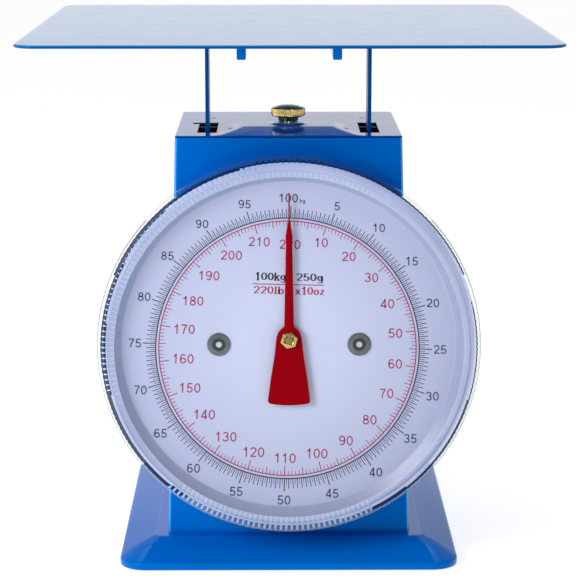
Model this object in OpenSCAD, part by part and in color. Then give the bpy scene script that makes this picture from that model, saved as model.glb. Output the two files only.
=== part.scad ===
// Mechanical dial platform scale, 100 kg: spring balance with a flat weighing platform.
// Origin: centre of the supporting surface, under the middle of the platform. X right, Y back, Z up.

/* [Platform] */
// Width of the weighing platform, left to right
pan_w = 330; // [300:5:340]
// Depth of the weighing platform, front to back
pan_d = 330; // [330:5:340]
// Thickness of the platform sheet
pan_t = 2; // [1.5:0.5:3]
// Plan radius of the platform corners
pan_r = 15; // [8:1:25]
// Height of the weighing surface above the ground
total_h = 361; // [358:0.5:366]
// Distance from the middle of the platform to each stiffening rib
rib_x = 30; // [24:1:40]

/* [Casing] */
// Width of the casing at its top
body_top_w = 150; // [148:1:156]
// Width of the casing at its foot
body_foot_w = 165; // [160:1:175]
// Front face of the casing, behind the middle of the platform when negative
front_y = -38.5; // [-39:0.1:-38]
// Rear edge of the casing top
top_rear_y = 91.5; // [90:0.5:96]
// Rear edge of the casing foot
foot_rear_y = 125; // [118:1:128]
// Height of the casing top
body_z = 290; // [289:0.5:291]
// Thickness of the casing sheets
sheet_t = 1.2; // [1:0.1:1.5]

/* [Base] */
// Width of the pressed base tray
base_w = 229; // [225:1:240]
// Front edge of the base tray
base_front_y = -69.5; // [-72:0.5:-66]
// Rear edge of the base tray
base_rear_y = 164.5; // [160:0.5:165]
// Height of the flat ledge that carries the casing
ledge_z = 17; // [16:0.5:18]
// Inward run of the sloping sides of the tray
base_slope = 23.5; // [20:0.5:26]
// Plan radius of the tray's lower corners
base_r = 18; // [12:1:22]

/* [Dial] */
// Height of the dial's centre
dial_z = 155.5; // [154:0.5:157]
// Height of the pointer axis
hub_z = 161; // [159:0.5:162]
// Height of the dial screws
dial_screw_z = 157; // [156:0.5:158]
// Radius of the flat printed area of the dial face
dial_r = 108; // [105:1:110]
// Outer radius of the blue dial housing
housing_r = 121.2; // [120.5:0.1:121.5]
// Outer radius of the clear dial cover over its ribs
cover_r = 125.6; // [125:0.1:126]
// Depth of the clear cover's side wall
cover_depth = 17.5; // [14:0.5:20]
// Distance of each dial screw from the dial's upright centre line
dial_screw_x = 46; // [44:0.5:47]

/* [Mechanism] */
// Distance of each post strip's middle plane from the centre line
post_x = 54.25; // [54:0.05:54.5]
// Depth of the post strips, front to back
post_d = 25; // [20:1:25]
// Travel of the platform at full load
travel = 25.13; // [24:0.01:26]
// Number of teeth on the pinion
pinion_teeth = 16; // [16:1:16]
// Gear module of rack and pinion
gear_m = 0.5; // [0.5:0.1:0.5]
// Wire diameter of the main springs
wire_d = 4.5; // [4:0.1:4.5]
// Mean coil diameter of the main springs
coil_d = 20.5; // [19:0.5:21]
// Number of coils in each main spring
coils = 24; // [20:1:24]
// Distance of each main spring from the centre line
spring_x = 25; // [24:0.5:26]
// Length of the guide levers between their pivots
stay_len = 62; // [60:0.5:63]
// Diameter of the brass zero knob
knob_d = 22.6; // [20:0.2:24]

/* [Hidden] */

eps = 0.01;
gap = 0.2;
// Casing heights
shell_top_z = body_z - sheet_t;
edge_r = 3;
lip_z = 0.6;
lip_h = 3.4;
// Pan and yoke heights
pan_under_z = total_h - pan_t;
rib_h = 13;
rib_w = 5.8;
rib_len = 200;
rib_t = 1.2;
yoke_t = 3;
yoke_z = pan_under_z - 10;
post_t = 2.5;
post_foot_z = 100;
slot_w = 13;
slot_front_y = -22;
slot_rear_y = 30;
// Dial layers, from the casing front towards the viewer
inner_y = front_y + sheet_t;
plate_t = 3;
face_y = front_y - 32;
face_t = 1;
rim_y = front_y - 35.5;
rim_r = 118;
washer_t = 0.8;
head_t = 2;
pointer_y = face_y - 3.3;
pointer_t = 1;
nut_t = 2.4;
shaft_end_y = pointer_y - pointer_t - nut_t - 0.6;
cover_y = front_y - 42;
cover_t = 1.6;
cover_in_r = housing_r + 0.1;
boss_h = 3.3;
boss_r = 17;
// Shaft and gears
shaft_r = 2.5;
pinion_y0 = -30;
pinion_w = 8;
bracket_y = -16;
bracket_t = 2;
bracket_h = 20;
pitch_r = gear_m * pinion_teeth / 2;
base_circle_r = pitch_r * cos(20);
tip_r = pitch_r + 0.9 * gear_m;
root_r = pitch_r - 1.15 * gear_m;
tooth_pitch = PI * gear_m;
backlash = 0.06;
rack_y0 = -29;
rack_w = 6;
// Springs and their supports
bar_t = 5;
bar_h = 16;
bar_z = 112;
hook_r = coil_d / 2;
hook_hole_r = 4.5;
hanger_z = 254;
hook_low_z = bar_z + bar_h / 2 + 1.5 + hook_r;
hook_high_z = hanger_z + bar_h / 2 - 1.5 - hook_r;
coil_z0 = hook_low_z + 3;
coil_z1 = hook_high_z - 3;
wire_r = wire_d / 2 - 0.1;
screw_r = 3;
knob_z = body_z + boss_h;
// Guide levers: they swing evenly about the level position
stay_half = asin(travel / 2 / stay_len);
stay_run = stay_len * cos(stay_half);
stay_rise = travel / 2;
column_y = 80;
pin_y = column_y - stay_run;
stay_low_z = 95;
stay_high_z = 225;
pin_r = 2;
bore_r = 2.05;
barrel_r = 4.5;
slot_play = 1.6;
column_w = 88;
foot_x = 74;
feet_y = [-26, 112];
foot_r = 9;
flange_x = 62;
bridge_t = 6;
bridge_d = 40;
bridge_x = body_top_w / 2 - sheet_t - 0.1;
bracket_x = 80.8;
fixing_y = [-8, 88];
pedestal_top_z = 78;
rear_lean = (foot_rear_y - top_rear_y) / (body_z - sheet_t - ledge_z);

// ---- shared shapes ----

// Rectangle with rounded corners, from x0,y0 to x1,y1
module round_rect(x0, y0, x1, y1, r, sides = 48) {
    translate([x0 + r, y0])
        square([x1 - x0 - 2 * r, y1 - y0]);
    translate([x0, y0 + r])
        square([x1 - x0, y1 - y0 - 2 * r]);
    for (x = [x0 + r, x1 - r], y = [y0 + r, y1 - r])
        translate([x, y])
            circle(r = r, $fn = sides);
}

// Block between two levels, each given as [half width, front, rear, height]
module tapered_block(foot, top) {
    corners = [[-1, 1], [1, 1], [1, 2], [-1, 2]];
    polyhedron(
        points = [for (level = [foot, top], c = corners) [c[0] * level[0], level[c[1]], level[3]]],
        faces = [[0, 1, 2, 3], [7, 6, 5, 4], [0, 4, 5, 1], [1, 5, 6, 2], [2, 6, 7, 3], [3, 7, 4, 0]]
    );
}

// Tapered box of the casing, drawn in from its outside by inset, between two heights; it runs on past the rear
module casing_block(inset, z0, z1) {
    foot = body_foot_w / 2 - inset;
    top = body_top_w / 2 - inset;
    r = max(edge_r - inset, 0.5);
    past = 10;
    hull() {
        translate([0, 0, z0])
            linear_extrude(eps)
                round_rect(-foot, front_y + inset, foot, foot_rear_y + past, r, 24);
        translate([0, 0, z1 - eps])
            linear_extrude(eps)
                round_rect(-top, front_y + inset, top, top_rear_y + past, r, 24);
    }
}

// Outside of the leaning rear cover at height z
function rear_y(z) = foot_rear_y - rear_lean * (z - ledge_z);

// Everything behind the rear cover's outside, moved forward by shift
module rear_zone(shift) {
    w = body_foot_w + 20;
    low = ledge_z - 5;
    high = body_z + 5;
    rotate([90, 0, 90])
        translate([0, 0, -w / 2])
            linear_extrude(w)
                polygon([
                    [rear_y(low) - shift, low], [foot_rear_y + 40, low],
                    [foot_rear_y + 40, high], [rear_y(high) - shift, high]
                ]);
}

// Cylinder along Y, from y0 to y1, centred on x and z
module along_y(x, z, y0, y1, r, sides = 48) {
    translate([x, y1, z])
        rotate([90, 0, 0])
            cylinder(h = y1 - y0, r = r, $fn = sides);
}

// Cylinder along X, from x0 to x1, centred on y and z
module along_x(y, z, x0, x1, r, sides = 48) {
    translate([x0, y, z])
        rotate([0, 90, 0])
            cylinder(h = x1 - x0, r = r, $fn = sides);
}

// Pan-head screw pointing down, its head resting on z = 0
module screw_down(r, head_r, head_h, length) {
    cylinder(h = head_h, r = head_r, $fn = 32);
    translate([0, 0, -length])
        cylinder(h = length, r = r, $fn = 24);
}

// Pan-head screw whose head rests on a plane facing the viewer, shank pointing back
module screw_back(r, head_r, head_h, length) {
    rotate([90, 0, 0])
        screw_down(r, head_r, head_h, length);
}

// ---- base ----

// Solid block of the pressed tray, inset all round by t, from height z0: its sides slope in above the lip
module tray_block(t, z0) {
    x = base_w / 2 - t;
    y0 = base_front_y + t;
    y1 = base_rear_y - t;
    s = base_slope;
    top_z = ledge_z - t;
    out = s * (lip_z + lip_h - z0) / (top_z - lip_z - lip_h);
    intersection() {
        tapered_block([x + out, y0 - out, y1 + out, z0], [x - s, y0 + s, y1 - s, top_z]);
        translate([0, 0, z0 - 1])
            linear_extrude(top_z - z0 + 2)
                round_rect(-x, y0, x, y1, base_r - t);
    }
}

module base_plate() {
    color("royalblue")
        difference() {
            tray_block(0, lip_z);
            tray_block(sheet_t, lip_z - 1);
            at_feet()
                cylinder(h = 30, r = 2, $fn = 24);
            at_fixings()
                cylinder(h = 30, r = 2, center = true, $fn = 24);
        }
}

// Places a child at each of the four feet
module at_feet() {
    for (x = [-foot_x, foot_x], y = feet_y)
        translate([x, y, 0])
            children();
}

module rubber_feet() {
    color("dimgray")
        at_feet()
            rotate_extrude($fn = 48)
                polygon([
                    [4.5, 0], [foot_r - 1, 0], [foot_r, 1], [foot_r, ledge_z - sheet_t],
                    [2, ledge_z - sheet_t], [2, 3], [4.5, 3]
                ]);
}

module foot_screws() {
    color("silver")
        at_feet()
            translate([0, 0, 3])
                mirror([0, 0, 1])
                    screw_down(1.95, 4, 1.8, ledge_z + 1);
}

// ---- casing ----

module body_shell() {
    color("royalblue")
        difference() {
            union() {
                difference() {
                    casing_block(0, ledge_z, shell_top_z);
                    casing_block(sheet_t, ledge_z - 1, body_z);
                    rear_zone(sheet_t + gap);
                }
                rear_flanges();
            }
            rear_screw_holes();
            along_y(0, hub_z, front_y - 2, inner_y + 2, 8);
            for (x = [-dial_screw_x, dial_screw_x])
                along_y(x, dial_screw_z, front_y - 2, inner_y + 2, 2.3);
        }
}

// Inward flanges along the rear edges of the shell, which take the rear screws
module rear_flanges() {
    difference() {
        intersection() {
            casing_block(sheet_t - eps, ledge_z, shell_top_z);
            rear_zone(2 * sheet_t + gap);
        }
        rear_zone(sheet_t + gap);
        translate([-flange_x, 0, 0])
            cube([2 * flange_x, 200, body_z + 10]);
    }
}

// Flat leaning sheet over the shell's rear flanges
module rear_cover() {
    color("royalblue")
        difference() {
            tapered_block(
                [body_foot_w / 2, foot_rear_y - sheet_t, foot_rear_y, ledge_z],
                [body_top_w / 2, top_rear_y - sheet_t, top_rear_y, body_z - sheet_t]
            );
            rear_screw_holes();
        }
}

// Places a child at each rear screw, its Z axis along the outward normal of the rear cover
module at_rear_screws() {
    for (z = [40, 150, 262], side = [-1, 1])
        translate([side * (flange_x + 6), rear_y(z), z])
            rotate([atan(rear_lean) - 90, 0, 0])
                children();
}

module rear_screw_holes() {
    at_rear_screws()
        cylinder(h = 16, r = 1.55, center = true, $fn = 24);
}

module rear_screws() {
    color("silver")
        at_rear_screws()
            screw_down(1.5, 3, 1.6, 6);
}

// Places a child at each screw between the casing and the base ledge
module at_fixings() {
    for (side = [-1, 1], y = fixing_y)
        translate([side * (bracket_x - 8), y, ledge_z])
            children();
}

module foot_brackets() {
    color("gray")
        for (side = [-1, 1], y = fixing_y)
            translate([side * bracket_x, y, ledge_z])
                difference() {
                    union() {
                        translate([side > 0 ? -14 : 0, -7, 0])
                            cube([14, 14, 2]);
                        translate([side > 0 ? -2 : 0, -7, 0])
                            cube([2, 14, 14]);
                    }
                    translate([-side * 8, 0, -1])
                        cylinder(h = 4, r = 2, $fn = 24);
                }
}

module body_screws() {
    color("silver")
        at_fixings()
            translate([0, 0, 2])
                screw_down(1.95, 3.6, 1.8, 5);
}

// Low round boss around the zero knob, as a solid of the given extra size
module knob_boss(z0, z1, grow) {
    translate([0, 0, z0])
        cylinder(h = z1 - z0, r1 = boss_r + 6 + grow, r2 = boss_r + grow, $fn = 64);
}

module top_cover() {
    color("royalblue")
        difference() {
            union() {
                translate([0, 0, shell_top_z])
                    linear_extrude(sheet_t)
                        round_rect(-body_top_w / 2, front_y, body_top_w / 2, top_rear_y, edge_r);
                knob_boss(body_z - eps, knob_z, 0);
            }
            knob_boss(shell_top_z - eps, knob_z - sheet_t, -0.5);
            translate([0, 0, shell_top_z - 1])
                cylinder(h = 12, r = 3.6, $fn = 48);
            for (side = [-1, 1])
                translate([side * post_x - slot_w / 2, slot_front_y, shell_top_z - 1])
                    cube([slot_w, slot_rear_y - slot_front_y, sheet_t + 2]);
            at_top_screws()
                translate([0, 0, -5])
                    cylinder(h = 10, r = 1.7, $fn = 32);
        }
}

// Places a child at each screw in the casing top: two into the bridge, two into the rear rail
module at_top_screws() {
    for (side = [-1, 1]) {
        translate([side * 39, 0, body_z])
            children();
        translate([side * 52, 55, body_z])
            children();
    }
}

module top_screws() {
    color("silver")
        at_top_screws()
            screw_down(1.6, 3, 1.6, 6);
}

// Bridge that carries the springs, with a second rail behind it
module top_bridge() {
    color("gray")
        difference() {
            union() {
                translate([-bridge_x, -bridge_d / 2, shell_top_z - bridge_t])
                    cube([2 * bridge_x, bridge_d, bridge_t]);
                translate([-bridge_x, 49, shell_top_z - 3])
                    cube([2 * bridge_x, 12, 3]);
                for (side = [-1, 1])
                    translate([side * 69 - 3, bridge_d / 2 - 1, shell_top_z - 3])
                        cube([6, 60 - bridge_d / 2, 3]);
            }
            translate([0, 0, shell_top_z - 10])
                cylinder(h = 20, r = 3.6, $fn = 48);
            for (side = [-1, 1])
                translate([side * post_x - slot_w / 2, -14, shell_top_z - 10])
                    cube([slot_w, 28, 20]);
            at_top_screws()
                cylinder(h = 30, r = 1.65, center = true, $fn = 32);
        }
}

// ---- dial ----

module front_plate() {
    color("gray")
        difference() {
            translate([-62, inner_y, dial_z - 50])
                cube([124, plate_t, 100]);
            along_y(0, hub_z, inner_y - 1, inner_y + plate_t + 1, 5);
            for (x = [-dial_screw_x, dial_screw_x])
                along_y(x, dial_screw_z, inner_y - 1, inner_y + plate_t + 1, 2);
        }
}

// Cupped bracket behind the front plate: holds the rear bush, and the rack runs through it
module bearing_bracket() {
    y0 = inner_y + plate_t;
    color("gray")
        difference() {
            translate([0, 0, hub_z - bracket_h / 2])
                linear_extrude(bracket_h)
                    union() {
                        for (side = [-1, 1]) {
                            translate([side * 31 - 1, y0])
                                square([2, bracket_y + bracket_t - y0]);
                            translate([side > 0 ? 30 : -42, y0])
                                square([12, 2]);
                        }
                        translate([-32, bracket_y])
                            square([64, bracket_t]);
                    }
            along_y(0, hub_z, bracket_y - 1, bracket_y + bracket_t + 1, 4);
            for (x = [-37, 37])
                along_y(x, hub_z, y0 - 1, y0 + 4, 1.6);
        }
}

module bracket_screws() {
    color("silver")
        for (x = [-37, 37])
            translate([x, inner_y + plate_t + 2, hub_z])
                rotate([-90, 0, 0])
                    screw_down(1.55, 3, 1.6, 2);
}

// Flanged bronze bushes for the pointer shaft, one in the front plate and one in the bracket
module shaft_bushes() {
    color("goldenrod")
        difference() {
            union() {
                along_y(0, hub_z, front_y - 1.5, inner_y + plate_t, 5);
                along_y(0, hub_z, inner_y + plate_t, inner_y + plate_t + 1.5, 7);
                along_y(0, hub_z, bracket_y - 1.5, bracket_y, 6);
                along_y(0, hub_z, bracket_y, bracket_y + bracket_t + 0.3, 4);
            }
            along_y(0, hub_z, front_y - 10, 10, shaft_r + 0.05);
        }
}

// Revolved shape about the dial's centre; profile points are [radius, distance along Y]
module about_dial_centre(points, sides = 180) {
    translate([0, 0, dial_z])
        rotate([-90, 0, 0])
            rotate_extrude($fn = sides)
                polygon(points);
}

module dial_housing() {
    back = front_y - sheet_t;
    color("royalblue")
        difference() {
            about_dial_centre([
                [0, front_y], [housing_r - 6, front_y], [housing_r, front_y - 6], [housing_r, rim_y],
                [housing_r - sheet_t, rim_y], [housing_r - sheet_t, back - 4.8],
                [housing_r - 6.5, back], [0, back]
            ]);
            along_y(0, hub_z, back - 1, front_y + 1, 6);
            for (x = [-dial_screw_x, dial_screw_x])
                along_y(x, dial_screw_z, back - 1, front_y + 1, 2.3);
        }
}

module dial_spacers() {
    color("gray")
        difference() {
            for (x = [-dial_screw_x, dial_screw_x])
                along_y(x, dial_screw_z, face_y + face_t, front_y - sheet_t, 5);
            for (x = [-dial_screw_x, dial_screw_x])
                along_y(x, dial_screw_z, face_y - 1, front_y, 2.1);
        }
}

module dial_face() {
    out_r = housing_r - sheet_t - 0.1;
    color("white")
        difference() {
            about_dial_centre([
                [0, face_y], [dial_r, face_y], [rim_r, rim_y], [out_r, rim_y],
                [out_r, rim_y + face_t], [rim_r - 0.3, rim_y + face_t],
                [dial_r - 0.3, face_y + face_t], [0, face_y + face_t]
            ]);
            along_y(0, hub_z, face_y - 1, face_y + face_t + 1, 4);
            for (x = [-dial_screw_x, dial_screw_x])
                along_y(x, dial_screw_z, face_y - 1, face_y + face_t + 1, 2.1);
        }
}

module dial_washers() {
    color("dimgray")
        difference() {
            for (x = [-dial_screw_x, dial_screw_x])
                along_y(x, dial_screw_z, face_y - washer_t, face_y, 7.5);
            for (x = [-dial_screw_x, dial_screw_x])
                along_y(x, dial_screw_z, face_y - 5, face_y + 1, 2.1);
        }
}

module dial_screws() {
    y0 = face_y - washer_t;
    color("silver")
        for (x = [-dial_screw_x, dial_screw_x]) {
            along_y(x, dial_screw_z, y0 - head_t, y0, 2.8);
            along_y(x, dial_screw_z, y0, inner_y + plate_t + 2, 1.95);
        }
}

module dial_cover() {
    y0 = cover_y;
    y1 = cover_y + cover_depth;
    color("lightcyan", 0.4)
        about_dial_centre([
            [0, y0], [cover_r - 2, y0], [cover_r, y0 + 2], [cover_r, y1],
            [cover_in_r, y1], [cover_in_r, y0 + cover_t], [0, y0 + cover_t]
        ]);
}

// ---- pointer train ----

module pointer_shaft() {
    color("silver")
        along_y(0, hub_z, shaft_end_y, bracket_y + bracket_t + 2, shaft_r);
}

// Point of an involute flank at roll angle t, for one side of a tooth
function involute(t, base, side) =
    let(a = side * (t * 180 / PI), r = base)
        [r * (cos(a) + side * t * sin(a)), r * (sin(a) - side * t * cos(a))];

// Outline of the pinion, with a tooth space on the +X side
module pinion_outline() {
    half = 90 / pinion_teeth + (tan(20) - 20 * PI / 180) * 180 / PI - backlash / pitch_r * 90 / PI;
    roll = sqrt(pow(tip_r / base_circle_r, 2) - 1);
    polygon([
        for (i = [0 : pinion_teeth - 1])
            let(mid = 360 * (i + 0.5) / pinion_teeth)
                each concat(
                    [root_r * [cos(mid - half), sin(mid - half)]],
                    [for (k = [0 : 5]) turned(involute(roll * k / 5, base_circle_r, 1), mid - half)],
                    [for (k = [5 : -1 : 0]) turned(involute(roll * k / 5, base_circle_r, -1), mid + half)],
                    [root_r * [cos(mid + half), sin(mid + half)]]
                )
    ]);
}

// Point p turned about the origin by angle a
function turned(p, a) = [p[0] * cos(a) - p[1] * sin(a), p[0] * sin(a) + p[1] * cos(a)];

module pinion() {
    color("goldenrod")
        difference() {
            union() {
                translate([0, pinion_y0 + pinion_w, hub_z])
                    rotate([90, 0, 0])
                        linear_extrude(pinion_w)
                            pinion_outline();
                along_y(0, hub_z, pinion_y0 + pinion_w, pinion_y0 + pinion_w + 3, 3.4);
            }
            along_y(0, hub_z, pinion_y0 - 1, pinion_y0 + pinion_w + 4, shaft_r);
        }
}

module pointer_hub() {
    color("goldenrod")
        difference() {
            along_y(0, hub_z, pointer_y, face_y + 2, 3.6);
            along_y(0, hub_z, pointer_y - 1, face_y + 3, shaft_r);
        }
}

// Pointer outline, hub at the origin and tip up: right side down, rounded tail, left side up
module pointer_outline() {
    right = [
        [0.4, 97], [0.5, 80.5], [2.2, 71], [1.95, 66.5], [3.15, 9], [5.6, 6.7], [7.9, 2.8], [8.4, 0], [13.9, -41]
    ];
    tail = [for (a = [60 : -15 : -60]) [13.3 * a / 60, -42.4 - 1.9 * cos(1.5 * a)]];
    left = [for (i = [len(right) - 1 : -1 : 0]) [-right[i][0], right[i][1]]];
    polygon(concat(right, tail, left));
}

module pointer() {
    color("crimson")
        difference() {
            translate([0, pointer_y, hub_z])
                rotate([90, 0, 0])
                    linear_extrude(pointer_t)
                        pointer_outline();
            along_y(0, hub_z, pointer_y - 3, pointer_y + 2, shaft_r);
        }
}

module pointer_nut() {
    y1 = pointer_y - pointer_t;
    color("goldenrod")
        difference() {
            translate([0, y1, hub_z])
                rotate([90, 0, 0])
                    cylinder(h = nut_t, r = 5.6, $fn = 6);
            along_y(0, hub_z, y1 - nut_t - 1, y1 + 1, shaft_r);
        }
}

// ---- zero adjustment and springs ----

module zero_knob() {
    color("gold")
        difference() {
            translate([0, 0, knob_z])
                rotate_extrude($fn = 96)
                    polygon([
                        [0, 0.2], [5, 0.2], [5, 2], [6.8, 2.6], [6.8, 4.6], [9, 5],
                        [knob_d / 2 - 0.6, 5.6], [knob_d / 2, 6.2], [knob_d / 2, 10.4],
                        [knob_d / 2 - 0.6, 11], [6, 12.4], [0, 13]
                    ]);
            translate([0, 0, knob_z - 1])
                cylinder(h = 11, r = screw_r + 0.06, $fn = 48);
        }
}

module adjust_screw() {
    color("silver")
        translate([0, 0, hanger_z + bar_h])
            cylinder(h = knob_z + 7.5 - hanger_z - bar_h, r = screw_r, $fn = 48);
}

// Upright bar with one hook hole for each spring
module hook_bar(x, z) {
    difference() {
        translate([-x, -bar_t / 2, z])
            cube([2 * x, bar_t, bar_h]);
        for (side = [-1, 1])
            along_y(side * spring_x, z + bar_h / 2, -bar_t, bar_t, hook_hole_r);
    }
}

module spring_hanger() {
    color("gray")
        hook_bar(36, hanger_z);
}

module load_bar() {
    color("gray")
        hook_bar(post_x - post_t / 2, bar_z);
}

// Point of the coil at turn t, starting at the front, and the wire's ring of points around it
function coil_dir(t) = [cos(360 * t - 90), sin(360 * t - 90), 0];
function coil_point(t) = coil_d / 2 * coil_dir(t) + [0, 0, coil_z0 + (coil_z1 - coil_z0) * t / coils];
function wire_ring(t) =
    [for (k = [0 : 5]) coil_point(t) + wire_r * (cos(60 * k) * coil_dir(t) + [0, 0, sin(60 * k)])];

// Open hook in the upright plane through the coil's end, its closed side down
module spring_hook() {
    rotate([0, 90, 0])
        rotate([0, 0, -90])
            rotate_extrude(angle = 210, $fn = 48)
                translate([hook_r, 0])
                    circle(r = wire_r, $fn = 24);
}

module spring(x) {
    steps = coils * 10;
    points = [for (i = [0 : steps]) each wire_ring(i / 10)];
    ends = [[for (k = [5 : -1 : 0]) k], [for (k = [0 : 5]) steps * 6 + k]];
    sides = [
        for (i = [0 : steps - 1], k = [0 : 5])
            [i * 6 + k, i * 6 + (k + 1) % 6, (i + 1) * 6 + (k + 1) % 6, (i + 1) * 6 + k]
    ];
    color("silver")
        translate([x, 0, 0]) {
            polyhedron(points = points, faces = concat(ends, sides), convexity = 10);
            translate([0, 0, hook_low_z])
                spring_hook();
            translate([0, 0, hook_high_z])
                mirror([0, 0, 1])
                    spring_hook();
        }
}

module left_spring() {
    spring(-spring_x);
}

module right_spring() {
    spring(spring_x);
}

// ---- load frame ----

// Post strip: passes the top slot, carries the yoke above and the load bar and guide pins below
module post(side) {
    difference() {
        translate([side * post_x - post_t / 2, 0, 0]) {
            translate([0, -post_d / 2, post_foot_z])
                cube([post_t, post_d, yoke_z - post_foot_z]);
            for (z = [stay_low_z, stay_high_z])
                translate([0, 0, z + stay_rise - 8])
                    cube([post_t, pin_y + 6, 16]);
            translate([side > 0 ? -12 : 0, -post_d / 2, yoke_z - post_t])
                cube([12 + post_t, post_d, post_t]);
        }
        for (z = [stay_low_z, stay_high_z])
            along_x(pin_y, z + stay_rise, side * post_x - 5, side * post_x + 5, pin_r);
        translate([side * (post_x - 7), 0, yoke_z - 10])
            cylinder(h = 20, r = 2, $fn = 32);
    }
}

module left_post() {
    color("royalblue")
        post(-1);
}

module right_post() {
    color("royalblue")
        post(1);
}

module yoke_bar() {
    color("royalblue")
        difference() {
            translate([-post_x - post_t / 2, -post_d / 2, yoke_z])
                cube([2 * post_x + post_t, post_d, yoke_t]);
            for (side = [-1, 1])
                translate([side * (post_x - 7), 0, yoke_z - 1])
                    cylinder(h = yoke_t + 2, r = 2, $fn = 32);
        }
}

module yoke_rivets() {
    color("silver")
        for (side = [-1, 1])
            translate([side * (post_x - 7), 0, yoke_z]) {
                translate([0, 0, -post_t - 1.5])
                    cylinder(h = 1.5, r = 3.5, $fn = 32);
                translate([0, 0, -post_t])
                    cylinder(h = post_t + yoke_t, r = 2, $fn = 32);
                translate([0, 0, yoke_t])
                    cylinder(h = 1.5, r = 3.5, $fn = 32);
            }
}

module guide_pins() {
    color("silver")
        for (z = [stay_low_z, stay_high_z])
            along_x(pin_y, z + stay_rise, -post_x - 4, post_x + 4, pin_r);
}

// Rack teeth face the pinion; the strip's foot is bent back over the load bar
module rack() {
    teeth = 30;
    tip = gear_m * 0.85;
    foot = gear_m * 1.15;
    half_mid = tooth_pitch / 4 - backlash / 2;
    x0 = pitch_r + foot;
    color("goldenrod")
        difference() {
            union() {
                translate([x0, rack_y0, bar_z + bar_h])
                    cube([4, rack_w, 78]);
                translate([x0, rack_y0, bar_z + bar_h])
                    cube([4, bar_t / 2 - rack_y0, 3]);
                translate([0, rack_y0 + rack_w, 0])
                    rotate([90, 0, 0])
                        linear_extrude(rack_w)
                            for (i = [0 : teeth - 1])
                                translate([pitch_r, hub_z + (i - 5) * tooth_pitch])
                                    polygon([
                                        [-tip, -half_mid + tip * tan(20)], [-tip, half_mid - tip * tan(20)],
                                        [foot + eps, half_mid + foot * tan(20)],
                                        [foot + eps, -half_mid - foot * tan(20)]
                                    ]);
            }
            translate([x0 + 2, 0, bar_z])
                cylinder(h = 30, r = 0.9, $fn = 24);
        }
}

module rack_screws() {
    color("silver")
        translate([pitch_r + gear_m * 1.15 + 2, 0, bar_z + bar_h + 3])
            screw_down(0.9, 1.8, 1.2, 3);
}

// ---- guide levers ----

// Lever between the column pin and the load frame's pin, drawn level and then set to its rest angle
module stay(z) {
    translate([0, column_y, z])
        rotate([-stay_half, 0, 0])
            difference() {
                union() {
                    along_x(0, 0, -38, 38, barrel_r);
                    for (shift = [-slot_play, slot_play])
                        along_x(shift - stay_len, 0, -50, 50, barrel_r);
                    translate([-50, -stay_len - slot_play, -barrel_r])
                        cube([100, 2 * slot_play, 2 * barrel_r]);
                    translate([-38, -stay_len, -1.25])
                        cube([76, stay_len, 2.5]);
                }
                along_x(0, 0, -60, 60, bore_r);
                for (shift = [-slot_play, slot_play])
                    along_x(shift - stay_len, 0, -60, 60, pin_r + 0.15);
                translate([-60, -stay_len - slot_play, -pin_r - 0.15])
                    cube([120, 2 * slot_play, 2 * pin_r + 0.3]);
            }
}

module upper_stay() {
    color("gray")
        stay(stay_high_z);
}

module lower_stay() {
    color("gray")
        stay(stay_low_z);
}

// Upright channel from the base ledge: its ears hold the fixed pins of the guide levers
module guide_column() {
    wall = 2.5;
    color("gray")
        difference() {
            union() {
                translate([-column_w / 2, column_y + 6, ledge_z])
                    cube([column_w, wall, stay_high_z + 12 - ledge_z]);
                translate([-column_w / 2, column_y - 22, ledge_z])
                    cube([column_w, 28, wall]);
                for (side = [-1, 1], z = [stay_low_z, stay_high_z])
                    translate([side * (column_w / 2 - wall / 2) - wall / 2, column_y - 7, z - 8])
                        cube([wall, 14, 16]);
            }
            for (z = [stay_low_z, stay_high_z])
                along_x(column_y, z, -60, 60, pin_r);
            at_column_screws()
                cylinder(h = 12, r = 2, center = true, $fn = 24);
        }
}

// Places a child at each screw that holds the column to the base ledge
module at_column_screws() {
    for (side = [-1, 1])
        translate([side * 28, column_y - 12, ledge_z])
            children();
}

module column_screws() {
    color("silver")
        at_column_screws()
            translate([0, 0, 2.5])
                screw_down(1.95, 3.6, 1.8, 2.5);
}

module column_pins() {
    color("silver")
        for (z = [stay_low_z, stay_high_z])
            along_x(column_y, z, -column_w / 2 - 1.5, column_w / 2 + 1.5, pin_r);
}

// Post and rubber buffer that stop the load frame at the end of its travel
module stop_post() {
    color("gray")
        translate([0, 0, ledge_z]) {
            cylinder(h = pedestal_top_z - ledge_z, r = 7, $fn = 48);
            cylinder(h = 3, r = 14, $fn = 48);
        }
}

module stop_buffer() {
    color("dimgray")
        translate([0, 0, pedestal_top_z])
            cylinder(h = bar_z - travel - 0.3 - pedestal_top_z, r = 8, $fn = 48);
}

// ---- platform ----

module pan() {
    color("royalblue")
        translate([0, 0, pan_under_z])
            linear_extrude(pan_t)
                round_rect(-pan_w / 2, -pan_d / 2, pan_w / 2, pan_d / 2, pan_r);
}

// Channel rib with closed ends under the platform, notched where it sits over the yoke bar
module rib(x) {
    z0 = pan_under_z - rib_h;
    notch_z = yoke_z + yoke_t + gap;
    translate([x, 0, 0])
        difference() {
            translate([-rib_w / 2, -rib_len / 2, z0])
                cube([rib_w, rib_len, rib_h]);
            translate([-rib_w / 2 + rib_t, -rib_len / 2 + rib_t, z0 - 1])
                cube([rib_w - 2 * rib_t, rib_len - 2 * rib_t, rib_h - rib_t + 1]);
            translate([-rib_w, -post_d / 2 - 0.5, z0 - 1])
                cube([2 * rib_w, post_d + 1, notch_z - z0 + 1]);
        }
}

module left_rib() {
    color("royalblue")
        rib(-rib_x);
}

module right_rib() {
    color("royalblue")
        rib(rib_x);
}

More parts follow.
